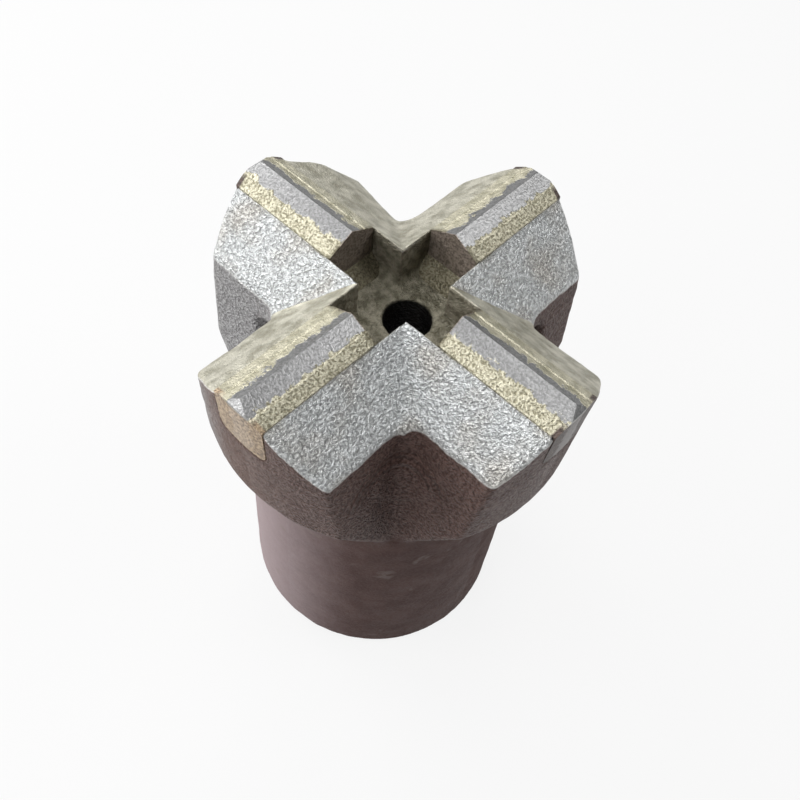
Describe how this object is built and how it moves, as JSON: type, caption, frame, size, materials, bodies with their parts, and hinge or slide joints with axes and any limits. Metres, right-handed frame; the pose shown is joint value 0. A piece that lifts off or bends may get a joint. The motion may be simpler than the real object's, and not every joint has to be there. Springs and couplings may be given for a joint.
{
  "type": "cross drill bit",
  "caption": "Cross-shaped rock drill bit: a forged head with roof-shaped wings, brazed carbide inserts, V flutes, flushing holes and a rope-thread socket in its skirt.",
  "frame": {"origin": "centre of the skirt's end face, which the bit stands on", "axes": "+Z along the bit's axis from the socket to the cutting edges; wings along X and Y"},
  "size_m": [0.0516, 0.0516, 0.0725],
  "materials": {
    "forged_steel": "shot-blasted forging, turned skirt",
    "carbide": "sintered tungsten carbide, ground slopes",
    "braze": "rough brass filler"
  },
  "bodies": {
    "root": {"bit_body": "forged_steel", "carbide_insert_1": "carbide", "carbide_insert_2": "carbide", "carbide_insert_3": "carbide", "carbide_insert_4": "carbide", "braze_seam_1": "braze", "braze_seam_2": "braze", "braze_seam_3": "braze", "braze_seam_4": "braze"}
  },
  "joints": []
}
